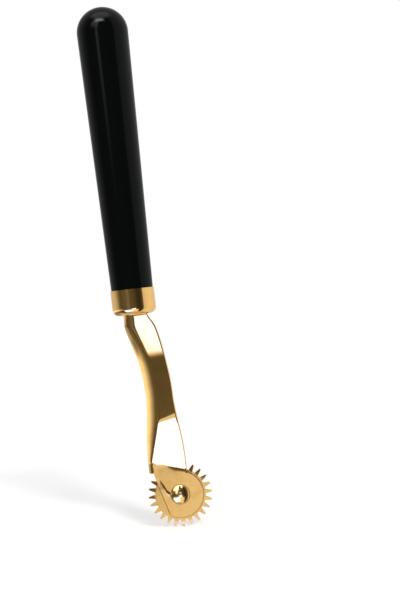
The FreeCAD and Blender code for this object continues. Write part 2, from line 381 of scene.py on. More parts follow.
class Row:
    """One cross-section of the channel: outside and inside lines from the front edge to the rear one."""

    def __init__(self, mesher, web, edge, half, reach):
        depth = ferrule_bottom - web.z
        full = fullness(depth)
        share = clamp((depth - ROUNDING_START) / (ROUNDING_END - ROUNDING_START))
        rounding_size = EDGE_ROUNDING_TOP + (EDGE_ROUNDING - EDGE_ROUNDING_TOP) * share
        along = (edge - web).normalized()
        length = (edge - web).length
        inner_half = half - SHEET
        flat_end = length - rounding_size

        def lay(pairs, side):
            return mesher.add([web + along * d + Vector((0, side * y, 0)) for d, y in pairs])

        flats = [reach + (flat_end - reach) * k / FLAT_STEPS for k in range(FLAT_STEPS, 0, -1)]
        outer = [(d, half) for d in flats] + fold_arc(reach, half, 0, full)
        inner = [(d, inner_half) for d in flats] + fold_arc(reach, inner_half, SHEET, full)
        rounding = []
        for k in range(1, ROUND_STEPS):
            angle = math.pi * k / ROUND_STEPS
            middle = half - SHEET / 2
            rounding.append(
                (flat_end + rounding_size * math.sin(angle), middle + SHEET / 2 * math.cos(angle))
            )
        self.outer_front = lay(outer, -1)
        self.inner_front = lay(inner, -1)
        self.round_front = lay(rounding, -1)
        self.outer_rear = lay(outer[:-1], 1) + [self.outer_front[-1]]
        self.inner_rear = lay(inner[:-1], 1) + [self.inner_front[-1]]
        self.round_rear = lay(rounding, 1)

    def ring(self):
        front = self.outer_front[::-1] + self.round_front + self.inner_front
        rear = self.inner_rear[:-1][::-1] + self.round_rear[::-1] + self.outer_rear[:-1]
        return front + rear


def fall_below(x, z, crease):
    """How far (x, z) lies below the crease, and its share along the crease."""
    a, b = crease
    share = (x - a.x) / (b.x - a.x)
    return max(0, a.z + (b.z - a.z) * share - z), share


def from_line(x, z, line):
    """Shortest way from (x, z) to a chain of points, and the side of the chain it lies on."""
    best, side = 1e9, 1
    for (ax, az), (bx, bz) in zip(line, line[1:]):
        dx, dz = bx - ax, bz - az
        t = clamp(((x - ax) * dx + (z - az) * dz) / (dx * dx + dz * dz))
        away = math.hypot(x - ax - t * dx, z - az - t * dz)
        if away < best:
            best, side = away, math.copysign(1, dx * (z - az) - dz * (x - ax))
    return best, side


def ear_outer(x, z, crease, marks=None):
    """How far the outside of an ear stands from the middle plane at (x, z)."""
    fall, share = fall_below(x, z, crease)
    coin = COIN_DEPTH * clamp((share - COIN_MIDDLE) / COIN_SPREAD, -1)
    join = clamp((x - crease[0].x - JOIN_START) / JOIN_LENGTH)
    out = EAR_HALF + join * (coin * (1 - math.exp(-fall / COIN_WIDTH)) - EAR_TILT * fall)
    if marks:
        away, side = from_line(x, z, marks)
        ends = eased(0, 1, (x - marks[0][0]) / MARK_START_LENGTH)
        ends *= eased(0, 1, (marks[-1][0] - x) / MARK_END_LENGTH)
        if side < 0:
            out += MARK_DEPTH * ends * math.exp(-away / MARK_FADE)
        else:
            out += MARK_DEPTH * ends * max(0, 1 - away / MARK_WIDTH)
    return out


def make_fork(material):
    mesher = Mesher()
    taper_web, taper_edge = axle_drop - TAPER_WEB_RISE, axle_drop - TAPER_EDGE_RISE
    bend_web, bend_edge = axle_drop - BEND_WEB_RISE, axle_drop - BEND_EDGE_RISE
    rows = []
    lift = Vector((0, 0, handle_end - ferrule_bottom))
    rows.append(Row(mesher, web_point(0) + lift, edge_point(0) + lift, MOUTH_HALF, REACH_MOUTH))
    # the rows lie closer together where the flare dies away
    knee_top, knee_bottom = FLARE_LENGTH - FLARE_KNEE, FLARE_LENGTH + KNEE_PAST
    depths = spread(0, knee_top, 20) + spread(knee_top, knee_bottom, 15)
    depths += spread(knee_bottom, taper_web, 22) + [taper_web]
    for depth in depths:
        share = depth / taper_web
        edge_depth = depth + (taper_edge - taper_web) * share**2
        reach = eased(REACH_MOUTH, REACH_TAPER, share)
        rows.append(Row(mesher, web_point(depth), edge_point(edge_depth), flared(depth), reach))
    steps = spread(0, TAPER_KNEE, 12)[1:] + spread(TAPER_KNEE, 1 - CREASE_KNEE, 14)
    steps += spread(1 - CREASE_KNEE, 1, 4) + [1]
    for share in steps:
        web = web_point(taper_web + (bend_web - taper_web) * share)
        edge = edge_point(taper_edge + (bend_edge - taper_edge) * share)
        half = body_half + (EAR_HALF - body_half) * tapered(share)
        reach = REACH_TAPER + (REACH_EARS - REACH_TAPER) * share
        rows.append(Row(mesher, web, edge, half, reach))
    rings = [row.ring() for row in rows]
    for first, second in zip(rings, rings[1:]):
        mesher.strip(first, second, closed=True)
    top = rows[0]
    for outer, inner in ((top.outer_front, top.inner_front), (top.outer_rear, top.inner_rear)):
        mesher.strip(outer, inner)
    for outer, inner, rounded in (
        (top.outer_front, top.inner_front, top.round_front),
        (top.outer_rear, top.inner_rear, top.round_rear),
    ):
        mesher.faces.append((outer[0], *rounded, inner[0]))

    # The folded side goes on below the crease to its cut end.
    crease = rows[-1]
    web_end = web_point(axle_drop - WEB_END_RISE)
    web_start = mesher.points[crease.outer_front[-1]]

    def below(ids, side):
        """The folded part of a crease line, carried down to the cut end in steps."""
        chain = ids[-(FOLD_STEPS + 1):]
        lines = [chain]
        for step in range(1, CUT_STEPS + 1):
            share = step / CUT_STEPS
            line = []
            for i in chain:
                p = mesher.points[i]
                reach = (p - web_start - Vector((0, p.y, 0))).length
                end = web_end + Vector((reach, 0, 0))
                x, z = p.x + (end.x - p.x) * share, p.z + (end.z - p.z) * share
                line.append((x, p.y, z))
            lines.append(mesher.add(line))
        return lines

    outer_front = below(crease.outer_front, -1)
    inner_front = below(crease.inner_front, -1)
    outer_rear = below(crease.outer_rear, 1)
    inner_rear = below(crease.inner_rear, 1)
    crease_line = (mesher.points[crease.outer_front[FLAT_STEPS]], mesher.points[crease.outer_front[0]])
    for lines in (outer_front, inner_front, outer_rear, inner_rear):
        for first, second in zip(lines, lines[1:]):
            mesher.strip(first, second)
    mesher.strip(outer_front[-1][1:], inner_front[-1][1:])
    mesher.strip(outer_rear[-1][1:], inner_rear[-1][1:])

    # Free outline of an ear, from the right end of the crease round to the cut end of the folded side.
    start = web_end + Vector((REACH_EARS, 0, 0))  # where the folded side is cut off
    slope = math.radians(EAR_EDGE_ANGLE)
    down = Vector((math.sin(slope), 0, -math.cos(slope)))
    across = Vector((math.cos(slope), 0, math.sin(slope)))
    axle = Vector((axle_x, 0, axle_z))
    to_axle = axle - start
    corner = start + down * (to_axle.dot(down) + math.sqrt(EAR_RADIUS**2 - to_axle.dot(across) ** 2))
    crease_end = edge_point(bend_edge)
    side = crease_end.x - axle_x
    first_angle = math.atan2(math.sqrt(EAR_RADIUS**2 - side**2), side)
    last_angle = math.atan2(corner.z - axle_z, corner.x - axle_x)
    outline = [crease_end]
    arc_steps = 72
    arc_points = []
    for k in range(arc_steps + 1):
        angle = first_angle + (last_angle - first_angle) * k / arc_steps
        arc_points.append(axle + Vector((math.cos(angle), 0, math.sin(angle))) * EAR_RADIUS)
    # a small curve leads from the stem's edge into the round of the ear
    joined = 3
    for k in range(1, 8):
        u = k / 8
        corner_share, end_share = 2 * u * (1 - u), u**2
        outline.append(
            crease_end * (1 - u) ** 2 + arc_points[0] * corner_share + arc_points[joined] * end_share
        )
    outline += arc_points[joined:]
    edge_steps = 16
    outline += [corner + (start - corner) * (k / edge_steps) for k in range(1, edge_steps + 1)]
    inward = []
    for k, point in enumerate(outline):
        before = outline[max(k - 1, 0)]
        after = outline[min(k + 1, len(outline) - 1)]
        if k == 0:
            before = point + Vector((0, 0, 1))
        way = (after - before).normalized()
        inward.append(Vector((way.z, 0, -way.x)))
    hole = circle(RIVET_HOLE_RADIUS, 40, (axle_x, axle_z))
    marks = [(axle_x + x, axle_z + z) for x, z in MARK]
    fine = []
    a, b = crease_line
    for step in range(1, CREASE_POINTS):
        share = step / CREASE_POINTS
        for fall in CREASE_ROWS:
            fine.append((a.x + (b.x - a.x) * share, a.z + (b.z - a.z) * share - fall))
    for (ax, az), (bx, bz) in zip(marks, marks[1:]):
        length = math.hypot(bx - ax, bz - az)
        nx, nz = -(bz - az) / length, (bx - ax) / length
        for step in range(int(length / FINE_PITCH)):
            t = step * FINE_PITCH / length
            for off in MARK_ROWS:
                fine.append((ax + (bx - ax) * t + nx * off, az + (bz - az) * t + nz * off))

    for side, outer_lines, inner_lines, row_outer, row_inner, row_round in (
        (-1, outer_front, inner_front, crease.outer_front, crease.inner_front, crease.round_front),
        (1, outer_rear, inner_rear, crease.outer_rear, crease.inner_rear, crease.round_rear),
    ):
        def outer_y(x, z):
            return side * ear_outer(x, z, crease_line, marks if side < 0 else None)

        def inner_y(x, z):
            return side * ear_inside

        loops = [[row_outer[0]] + row_round + [row_inner[0]]]
        last = len(outline) - 1
        for k in range(1, last + 1):
            point, towards = outline[k], inward[k]
            grow = min(1, (outline[k] - outline[0]).length / EAR_ROUNDING_LENGTH)
            radius = EDGE_ROUNDING + (EAR_ROUNDING - EDGE_ROUNDING) * grow
            radius *= min(1, (outline[last] - point).length / EDGE_END_LENGTH)
            ring = []
            for m in range(ROUND_STEPS + 1):
                angle = math.pi * m / ROUND_STEPS
                place = point + towards * (radius * (1 - math.sin(angle)))
                share = (1 - math.cos(angle)) / 2
                out_y, in_y = outer_y(place.x, place.z), inner_y(place.x, place.z)
                ring.append((place.x, out_y + (in_y - out_y) * share, place.z))
            loops.append(mesher.add(ring))
        for first, second in zip(loops, loops[1:]):
            mesher.strip(first, second)
        # the cut end of the folded side meets the end of the free outline
        mesher.faces.append((outer_lines[-1][1], *loops[-1], inner_lines[-1][1]))
        for which, lines, row, height in (
            (0, outer_lines, row_outer, outer_y),
            (-1, inner_lines, row_inner, inner_y),
        ):
            border = list(row[: FLAT_STEPS + 1])[::-1]
            border += [loop[which] for loop in loops[1:]]
            border += [line[0] for line in lines[1:]][::-1]
            ring = mesher.add([(x, height(x, z), z) for x, z in hole])
            flat = [Vector((mesher.points[i].x, mesher.points[i].z)) for i in border]
            hole_flat = [Vector(p) for p in hole]
            inside = grid_inside(flat, [hole_flat], FILL_PITCH, FILL_MARGIN)
            if which == 0:
                inside = [p for p in inside if min_gap(p, fine) > FINE_SPACE]
                inside += [p for p in fine if clear_of(Vector(p), flat, hole_flat, FINE_MARGIN)]
            mesher.fill(border, [ring], inside, height)
            if which == 0:
                outer_ring = ring
            else:
                mesher.strip(outer_ring, ring, closed=True)
    # prongs in the handle
    half = PRONG_HALF_WIDTH
    for y in (-MOUTH_HALF, MOUTH_HALF - SHEET):
        low, high = handle_end, fork_high.z
        corners = [(-half, y), (half, y), (half, y + SHEET), (-half, y + SHEET)]
        bottom = mesher.add([(x, w, low) for x, w in corners])
        upper = mesher.add([(x, w, high) for x, w in corners])
        mesher.strip(bottom, upper, closed=True)
        mesher.faces += [tuple(bottom), tuple(upper)]
    return mesher.build("fork_sheet", "handle_and_fork", material, "fork", 50)


# -------------------- handle and ferrule
def upright(x, y, h):
    return (x, y, h)


def make_handle(material):
    mesher = Mesher()
    radius = handle_high.x
    centre = (0, handle_high.z - radius)
    foot = (HANDLE_FOOT_RADIUS, ferrule_top)
    # the cone touches the dome where its outline is a tangent
    drop = foot[1] - centre[1]
    lean = math.atan2(drop, foot[0]) + math.acos(radius / math.hypot(foot[0], drop))
    dome = arc(centre, radius, math.degrees(lean), 90, 40)
    dome[-1] = (0, handle_high.z)
    spigot = FERRULE_RADIUS - FERRULE_WALL - GLUE_GAP
    rounding = FERRULE_ROUNDING - FERRULE_WALL
    start = dome[0]
    cone = []
    for k in range(1, 30):
        share = k / 30
        cone.append((foot[0] + (start[0] - foot[0]) * share, foot[1] + (start[1] - foot[1]) * share))
    bore = math.hypot(PRONG_HALF_WIDTH, MOUTH_HALF) + GLUE_GAP
    bore_top = fork_high.z + PRONG_END_SPACE
    profile = [(0, bore_top), (bore, bore_top), (bore, handle_end)]
    profile += arc((spigot - rounding, handle_end + rounding), rounding, -90, 0, 8)
    profile += [(spigot, ferrule_top)]
    profile += arc((foot[0] - HANDLE_EDGE, ferrule_top + HANDLE_EDGE), HANDLE_EDGE, -90, 0, 4)
    profile += cone + dome
    turn(mesher, profile, upright)
    return mesher.build("turned_handle", "handle_and_fork", material, "handle")


def make_ferrule(material):
    mesher = Mesher()
    outer, inner = FERRULE_RADIUS, FERRULE_RADIUS - FERRULE_WALL
    floor_top = ferrule_bottom + FERRULE_WALL
    bend_top = ferrule_bottom + FERRULE_ROUNDING
    side = ferrule_top - bend_top
    side_rings = 13
    outside = arc((outer - FERRULE_ROUNDING, bend_top), FERRULE_ROUNDING, -90, 0, 14)
    outside += [(outer, bend_top + side * k / side_rings) for k in range(1, side_rings + 1)]
    small = FERRULE_ROUNDING - FERRULE_WALL
    inside = [(inner, ferrule_top)]
    inside += arc((inner - small, floor_top + small), small, 0, -90, 8)
    rings = turn(mesher, outside + inside, upright)
    half = MOUTH_HALF + SLOT_GAP
    left = -MOUTH_WIDTH / 2 - SLOT_GAP
    right = MOUTH_WIDTH / 2 + SLOT_GAP
    bend = [(left + d, y) for d, y in fold_arc(REACH_MOUTH, half, 0, FULLNESS_MOUTH)]
    slot_line = [(right, -half)]
    slot_line += [(x, -y) for x, y in bend]
    slot_line += [(x, y) for x, y in bend[:-1][::-1]]
    slot_line += [(right, half)]
    slots = []
    for ring, height in ((rings[0], ferrule_bottom), (rings[-1], floor_top)):
        hole = mesher.add([(x, y, height) for x, y in slot_line])
        slots.append(hole)
        # The floor is filled in the XY plane, so the points stand in for an XZ fill.
        flat = Mesher()
        flat.points = [Vector((p.x, p.z, p.y)) for p in mesher.points]
        flat.fill(ring, [hole], [], None)
        mesher.faces += flat.faces
    mesher.strip(slots[0], slots[1], closed=True)
    return mesher.build("ferrule_cup", "handle_and_fork", material, "ferrule")


# -------------------- wheel and rivet
TEETH = 24
TOOTH_HEIGHT = 2.0
TOOTH_TIP = 0.55
GULLET = 0.7
TOOTH_LEAN = math.tan(math.radians(1.7))
TOOTH_EDGE = 0.12
FLANK_STEPS = 6
# Rings of points that keep the wheel's faces even: (radius, count)
FACE_RINGS = ((6.2, 90), (4.6, 64), (3.2, 48))
# and those near the gullets: (depth under the gullets, count)
ROOT_RINGS = ((0.3, 144), (0.7, 120))
RING_TURN = 0.01


def make_wheel(material):
    mesher = Mesher()
    root = wheel_radius - TOOTH_HEIGHT
    pitch = 2 * math.pi / TEETH
    outline = []
    for tooth in range(TEETH):
        middle = tooth * pitch - math.pi / 2
        tip, foot = TOOTH_TIP / 2 / wheel_radius, pitch / 2 - GULLET / 2 / root
        quarter = (foot + pitch / 2) / 2
        outline += [(wheel_radius, middle + angle) for angle in (-tip, -tip / 2, 0, tip / 2, tip)]
        for k in range(1, FLANK_STEPS):
            share = k / FLANK_STEPS
            radius = wheel_radius + (root - wheel_radius) * share
            outline.append((radius, middle + tip + (foot - tip) * share))
        outline += [(root, middle + angle) for angle in (foot, quarter, pitch / 2, pitch - quarter)]
        for k in range(FLANK_STEPS):
            share = k / FLANK_STEPS
            radius = root + (wheel_radius - root) * share
            outline.append((radius, middle + pitch - foot + (foot - tip) * share))
    flat = [Vector((axle_x + r * math.cos(a), axle_z + r * math.sin(a))) for r, a in outline]
    count = len(flat)

    def face_y(x, z):
        radius = math.hypot(x - axle_x, z - axle_z)
        return wheel_face - TOOTH_LEAN * max(0, radius - root)

    inward = []
    for k in range(count):
        way = (flat[(k + 1) % count] - flat[k - 1]).normalized()
        inward.append(Vector((-way.y, way.x)))
    rings = []
    stages = 6
    for m in range(stages + 1):
        angle = math.pi * m / stages
        ring = []
        for point, towards in zip(flat, inward):
            place = point + towards * (TOOTH_EDGE * (1 - math.sin(angle)))
            ring.append((place.x, -math.cos(angle) * face_y(place.x, place.y), place.y))
        rings.append(mesher.add(ring))
    for first, second in zip(rings, rings[1:]):
        mesher.strip(first, second, closed=True)
    bores = []
    for ring, side in ((rings[0], -1), (rings[-1], 1)):
        bore_line = circle(bore_radius, 48, (axle_x, axle_z))
        bore = mesher.add([(x, side * wheel_face, z) for x, z in bore_line])
        bores.append(bore)
        inside = []
        near = [(root - under, number) for under, number in ROOT_RINGS]
        for radius, number in (*near, *FACE_RINGS):
            inside += circle(radius, number, (axle_x, axle_z), RING_TURN)
        border = [Vector((mesher.points[i].x, mesher.points[i].z)) for i in ring]
        mesher.fill(ring, [bore], inside, lambda x, z: side * face_y(x, z))
    mesher.strip(bores[0], bores[1], closed=True)
    return mesher.build("toothed_wheel", "wheel", material, "tracing_wheel")


# The rivet's head is a low dome that reaches HEAD_SLOPE degrees, with a rounded edge.
HEAD_SLOPE = 31.0
HEAD_EDGE = 0.22
HEAD_FOOT = 0.06
TAIL_RADIUS, TAIL_STEP = 2.2, 0.2
SHANK_RADIUS = 1.2
TAIL_SEAT = 0.02


def make_rivet(material):
    mesher = Mesher()
    head = (rivet_high.x - rivet_low.x) / 2
    head_low = rivet_low.y

    def place(x, y, h):
        return (axle_x + x, h, axle_z + y)

    profile = [(0, head_low)]
    dome_edge = head - HEAD_EDGE
    slope = math.radians(HEAD_SLOPE)
    sphere = dome_edge / math.sin(slope)
    for k in range(1, 25):
        angle = slope * k / 24
        profile.append((sphere * math.sin(angle), head_low + sphere * (1 - math.cos(angle))))
    edge_top = profile[-1][1]
    size = HEAD_EDGE / (1 - math.sin(slope))
    for k in range(1, 9):
        angle = slope + (math.pi / 2 - slope) * k / 8
        turned = math.sin(angle) - math.sin(slope)
        sunk = math.cos(slope) - math.cos(angle)
        profile.append((dome_edge + size * turned, edge_top + size * sunk))
    profile += [(head, -EAR_HALF - HEAD_FOOT), (head - HEAD_FOOT, -EAR_HALF), (SHANK_RADIUS, -EAR_HALF)]
    seat = EAR_HALF - TAIL_SEAT
    tail_edge = EAR_HALF + TAIL_STEP
    profile += [(SHANK_RADIUS, seat), (TAIL_RADIUS, seat), (TAIL_RADIUS, tail_edge)]
    tail_rise = rivet_high.y - tail_edge
    for k in range(1, 13):
        angle = math.pi / 2 * k / 12
        profile.append((TAIL_RADIUS * math.cos(angle), tail_edge + tail_rise * math.sin(angle)))
    profile[-1] = (0, rivet_high.y)
    turn(mesher, profile, place, 96)
    return mesher.build("riveted_axle", "handle_and_fork", material, "axle_rivet")


# -------------------- node trees
class Graph:
    """Adds shader nodes to a node tree and links them."""

    def __init__(self, tree):
        self.tree = tree
        tree.nodes.clear()

    def add(self, kind, inputs=None, **settings):
        node = self.tree.nodes.new("ShaderNode" + kind)
        for key, value in settings.items():
            setattr(node, key, value)
        for key, value in (inputs or {}).items():
            if isinstance(value, bpy.types.NodeSocket):
                self.tree.links.new(value, node.inputs[key])
            else:
                node.inputs[key].default_value = value
        return node

    def math(self, operation, *values):
        return self.add("Math", dict(enumerate(values)), operation=operation).outputs[0]

    def times(self, first, second):
        return self.math("MULTIPLY", first, second)

    def times_plus(self, value, factor, added):
        return self.math("MULTIPLY_ADD", value, factor, added)

    def step(self, value, start, end):
        """0 before start, 1 after end and smooth between them; start may be the larger."""
        ends = {"Value": value, "From Min": start, "From Max": end}
        return self.add("MapRange", ends, interpolation_type="SMOOTHSTEP").outputs[0]

    def band(self, value, low, high, soft):
        """1 between low and high, with soft edges as wide as soft on each side."""
        rise = self.step(value, low - soft, low + soft)
        fall = self.step(value, high + soft, high - soft)
        return self.times(rise, fall)

    def blend(self, first, second, share):
        return self.add("Mix", {0: share, 2: first, 3: second}).outputs[0]

    def mix(self, share, first, second):
        """The same for colours."""
        colours = {0: share, 6: first, 7: second}
        return self.add("Mix", colours, data_type="RGBA").outputs[2]

    def noise(self, vector, scale, detail):
        settings = {"Vector": vector, "Scale": scale, "Detail": detail}
        return self.add("TexNoise", settings).outputs[0]


def new_material(name):
    material = bpy.data.materials.new(name)
    material.use_nodes = True
    return material, Graph(material.node_tree)


# -------------------- studio world
# What polished metal and lacquer see, by direction. Azimuth 0 is the front (-Y) and grows towards +X.
RING = (
    (-180, 0.80), (-157, 0.75), (-131, 0.66), (-114, 0.69), (-101, 0.54), (-89, 0.38), (-78, 0.17),
    (-68, 0.10), (-50, 0.12), (-36, 0.12), (-8, 0.11), (8, 0.085), (16, 0.06), (32, 0.035),
    (47, 0.07), (52, 0.12), (56, 0.70), (62, 0.78), (78, 0.88), (101, 0.98), (131, 0.83), (180, 0.80),
)
RING_TOP = 1.2
# Areas of that world: (low, high, softness) in degrees, or (start, end) of a soft step, and how bright
# they are.
WINDOW_AZIMUTH = (-11, 11, 2)
STRIP_AZIMUTH, STRIP_ELEVATION, STRIP_GAP = (-31, -19, 4), (-2, 55, 2), (8.4, 11.6, 0.5)
STRIP_RISE, STRIP_GAIN, STRIP_BASE = (0.3, 7), 2.5, 0.12
BORDER_SLOPE, BORDER_MIDDLE, BORDER_TOP, BORDER_BOTTOM = 0.36, -3.87, -3.3, -5.6
BORDER_EDGE = (0.2, -0.15)
TONE_SLOPE, TONE_LEVEL = 0.018, 0.985
LOW_ELEVATION, LOW_AZIMUTH, LOW_LEVEL = (-21, -24), (-14, 26, 4), 1.0
DOWN_ELEVATION, DOWN_LEVEL = (-58, -70), 0.62
TOP_ELEVATION, TOP_FRONT, TOP_LEVEL = (52, 72), (-0.35, 0.1), 3.6
FALL_AZIMUTH, FALL_ELEVATION, FALL_LEVEL = (-50, -14, 12), (26, 50, 9), 3.6
BOX_AZIMUTH, BOX_ELEVATION, BOX_LEVEL = (-36, 14, 14), (46, 60, 8), 22.0
CREAM_AZIMUTH, CREAM_LEVEL = (-6, 8, 1.5), 1.2
CREAM_RISE, CREAM_FALL = (3.8, 7.4), (11.9, 10.1)
UPPER_CARD_RISE, UPPER_CARD_FALL = (6.4, 8.7), (11, 10)
LOWER_CARD = (-22.5, -9.3, 1)
LEFT_CARD_AZIMUTH, LEFT_CARD_ELEVATION = (-56, -8, 7), (-54, -20, 4)
# Gold gives this colour back as a plain white.
WHITE_CARD = (1.5, 2.25, 5.5, 1)
DIM_TINT, DIM_LEVELS = (1, 0.93, 0.72, 1), (0.5, 0.1)
AMBIENT = 0.58


def make_ramp(g, share, levels, first, last, top=1.0):
    """A row of brightness levels laid along share, which runs from 0 at first to 1 at last."""
    ramp = g.add("ValToRGB", {0: share})
    stops = ramp.color_ramp.elements
    while len(stops) > 1:
        stops.remove(stops[-1])
    for index, (at, level) in enumerate(levels):
        spot = (at - first) / (last - first)
        stop = stops[0] if index == 0 else stops.new(spot)
        stop.position = spot
        stop.color = (level / top,) * 3 + (1,)
    return ramp.outputs[0]


def make_world():
    world = bpy.data.worlds.new("studio")
    bpy.context.scene.world = world
    world.use_nodes = True
    world.cycles.sampling_method = "NONE"
    g = Graph(world.node_tree)
    direction = g.add("SeparateXYZ", {0: g.add("TexCoord").outputs["Generated"]})
    x, y, z = direction.outputs
    front = g.times(y, -1.0)
    azimuth = g.math("DEGREES", g.math("ARCTAN2", x, front))
    elevation = g.math("DEGREES", g.math("ARCSINE", z))
    around = g.math("DIVIDE", g.math("ADD", azimuth, 180.0), 360.0)
    light = g.times(make_ramp(g, around, RING, -180, 180, RING_TOP), RING_TOP)
    window = g.band(azimuth, *WINDOW_AZIMUTH)

    def area(across, up):
        return g.times(g.band(azimuth, *across), g.band(elevation, *up))

    # an upright strip on the left, brighter towards its top, with a gap where the fork's flare would see it
    level = g.times_plus(g.step(elevation, *STRIP_RISE), STRIP_GAIN, STRIP_BASE)
    strip = area(STRIP_AZIMUTH, STRIP_ELEVATION)
    strip = g.times(strip, g.math("SUBTRACT", 1.0, g.band(elevation, *STRIP_GAP)))
    light = g.blend(light, level, strip)
    # in front, the light tone that lies below a slanting border
    border = g.times_plus(azimuth, BORDER_SLOPE, BORDER_MIDDLE)
    border = g.math("MAXIMUM", g.math("MINIMUM", border, BORDER_TOP), BORDER_BOTTOM)
    above = g.math("SUBTRACT", elevation, border)
    tone = g.times_plus(elevation, TONE_SLOPE, TONE_LEVEL)
    light = g.blend(light, tone, g.times(g.step(above, *BORDER_EDGE), window))
    # further down: light in the middle, dark beside it, a middle tone straight down
    low = g.times(g.step(elevation, *LOW_ELEVATION), g.band(azimuth, *LOW_AZIMUTH))
    light = g.blend(light, LOW_LEVEL, low)
    light = g.blend(light, DOWN_LEVEL, g.step(elevation, *DOWN_ELEVATION))
    # overhead: a soft ceiling, the softbox and what falls off below it on the left
    top = g.times(g.step(elevation, *TOP_ELEVATION), g.step(front, *TOP_FRONT))
    light = g.blend(light, TOP_LEVEL, top)
    fall = area(FALL_AZIMUTH, FALL_ELEVATION)
    light = g.blend(light, FALL_LEVEL, fall)
    box = area(BOX_AZIMUTH, BOX_ELEVATION)
    light = g.blend(light, BOX_LEVEL, box)
    # cards that polished brass gives back as white
    middle = g.band(azimuth, *CREAM_AZIMUTH)
    cream = g.times(g.step(elevation, *CREAM_RISE), g.step(elevation, *CREAM_FALL))
    light = g.blend(light, CREAM_LEVEL, g.times(cream, middle))
    upper = g.times(g.step(elevation, *UPPER_CARD_RISE), g.step(elevation, *UPPER_CARD_FALL))
    upper = g.times(upper, middle)
    lower = g.times(g.band(elevation, *LOWER_CARD), window)
    left = area(LEFT_CARD_AZIMUTH, LEFT_CARD_ELEVATION)
    white = g.math("MAXIMUM", g.math("MAXIMUM", lower, upper), left)
    path = g.add("LightPath")
    dim = g.step(light, *DIM_LEVELS)
    tint = g.mix(dim, (1, 1, 1, 1), DIM_TINT)
    scaled = g.add("VectorMath", {0: tint, 3: light}, operation="SCALE").outputs[0]
    lit = g.mix(white, scaled, WHITE_CARD)
    plain = g.mix(path.outputs["Is Glossy Ray"], (AMBIENT, AMBIENT, AMBIENT, 1), lit)
    seen = g.math("MAXIMUM", path.outputs["Is Camera Ray"], path.outputs["Is Transmission Ray"])
    colour = g.mix(seen, plain, (1, 1, 1, 1))
    background = g.add("Background", {"Color": colour, "Strength": 1.0})
    g.add("OutputWorld", {"Surface": background.outputs[0]})


# -------------------- sun, floor and cards
SUN_STRENGTH = 1.85
SUN_SIZE = 7.0
SUN_ELEVATION = 23.7
SUN_AZIMUTH = 12.0


def make_sun():
    lamp = bpy.data.lights.new("key", "SUN")
    lamp.energy = SUN_STRENGTH
    lamp.angle = math.radians(SUN_SIZE)
    sun = put("key", lamp)
    e, a = math.radians(SUN_ELEVATION), math.radians(SUN_AZIMUTH)
    towards = Vector((math.sin(a) * math.cos(e), -math.cos(a) * math.cos(e), math.sin(e)))
    sun.rotation_mode = "QUATERNION"
    sun.rotation_quaternion = towards.to_track_quat("Z", "Y")
    sun.visible_glossy = False


FLOOR_HALF = 4.0
FLOOR_COLOUR = (0.9, 0.9, 0.9, 1)
FLOOR_GLOW = 0.3
FLOOR_FADE = (0.45, 0.8)  # distances, in metres, between which the floor turns into plain white


def make_floor():
    level = cad_box[0].z
    mesh = bpy.data.meshes.new("floor")
    half = FLOOR_HALF
    corners = [(-half, -half, level), (half, -half, level), (half, half, level), (-half, half, level)]
    mesh.from_pydata(corners, [], [(0, 1, 2, 3)])
    floor = put("floor", mesh)
    floor.visible_glossy = False
    material, g = new_material("floor_white")
    path = g.add("LightPath")
    seen = g.math("MAXIMUM", path.outputs["Is Camera Ray"], path.outputs["Is Glossy Ray"])
    seen = g.math("MAXIMUM", seen, path.outputs["Is Transmission Ray"])
    plain = g.add("BsdfDiffuse", {"Color": FLOOR_COLOUR}).outputs[0]
    glow = g.add("Emission", {"Color": (1, 1, 1, 1), "Strength": FLOOR_GLOW}).outputs[0]
    white = g.add("AddShader", {0: plain, 1: glow}).outputs[0]
    near = g.add("MixShader", {0: seen, 1: plain, 2: white}).outputs[0]
    full = g.add("Emission", {"Color": (1, 1, 1, 1), "Strength": 1.0}).outputs[0]
    position = g.add("NewGeometry").outputs["Position"]
    distance = g.add("VectorMath", {0: position}, operation="LENGTH").outputs["Value"]
    away = g.times(g.step(distance, *FLOOR_FADE), seen)
    both = g.add("MixShader", {0: away, 1: near, 2: full}).outputs[0]
    g.add("OutputMaterial", {"Surface": both})
    mesh.materials.append(material)


# Brightness round each card, by azimuth
CARD_LEVELS = (
    (-176, 1.1), (-150, 1.35), (-125, 1.4), (-97, 1.28), (-87, 1.1), (-77, 0.84), (-68, 0.55),
    (-57, 0.27), (-45, 0.12),
)
TOP_FLAG_LEVELS = ((-14, 0.11), (16, 0.06))
SCRIM_LEVELS = ((-150, 0.03), (-50, 0.03))
FLAG_LEVELS = ((-47, 0.12), (-34, 0.13), (-28, 0.17), (-20, 0.19), (-14, 0.11))
# Name, radius, levels, lower and upper end, how far each of the two fades, and density
CARDS = (
    ("reflector", 0.16, CARD_LEVELS, -0.064, 0.0, 0.009, 0.03, 1.0),
    ("flag", 0.03, FLAG_LEVELS, -0.0085, 0.0065, 0.002, 0.0015, 1.0),
    ("scrim", 0.02, SCRIM_LEVELS, -0.026, -0.005, 0.012, 0.003, 0.62),
    ("top_flag", 0.16, TOP_FLAG_LEVELS, 0.06, 0.25, 0.01, 0.01, 1.0),
)


